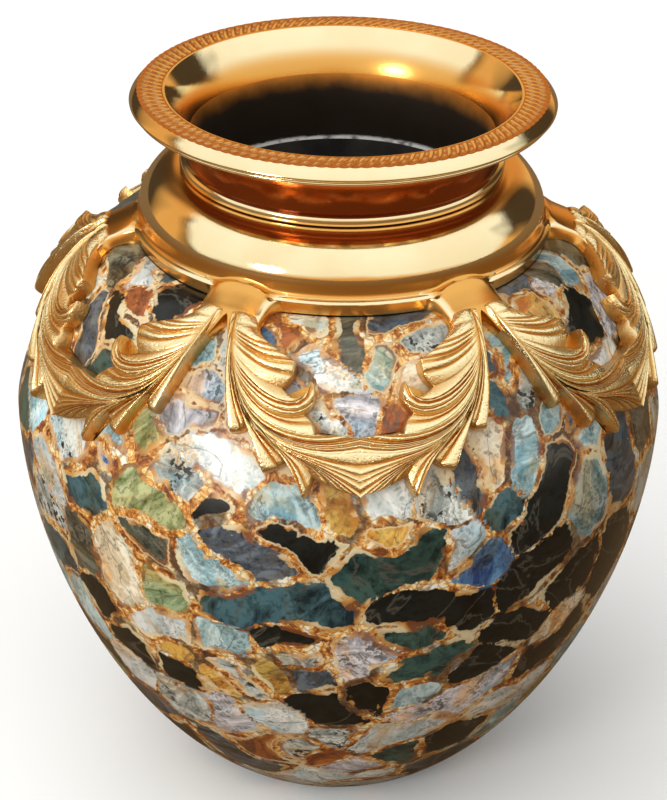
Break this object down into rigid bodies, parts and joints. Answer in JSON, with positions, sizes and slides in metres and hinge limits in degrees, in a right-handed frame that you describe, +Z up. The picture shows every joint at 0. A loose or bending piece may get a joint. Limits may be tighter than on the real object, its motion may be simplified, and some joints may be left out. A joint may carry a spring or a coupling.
{
  "type": "metal-mounted stone flower pot",
  "caption": "Round-bellied pot faced with stone fragments, with a gilt metal collar of leaf festoons, a short neck and a wide flared rim.",
  "frame": {"origin": "middle of the flat underside that the pot stands on", "axes": "+Z up along the pot's axis, -Y towards the middle of one festoon"},
  "size_m": [0.27, 0.27, 0.3047],
  "materials": {
    "stone": "polished stone fragments in rusty veined matrix, clear-coated",
    "cast_gilt": "cast and gilt, polished on the dome, left slightly rough on the leaves",
    "turned_gilt": "turned and polished, with a chased band on the rim"
  },
  "bodies": {
    "root": {"stone_vessel": "stone", "festoon_collar": "cast_gilt", "turned_neck": "turned_gilt"}
  },
  "joints": []
}
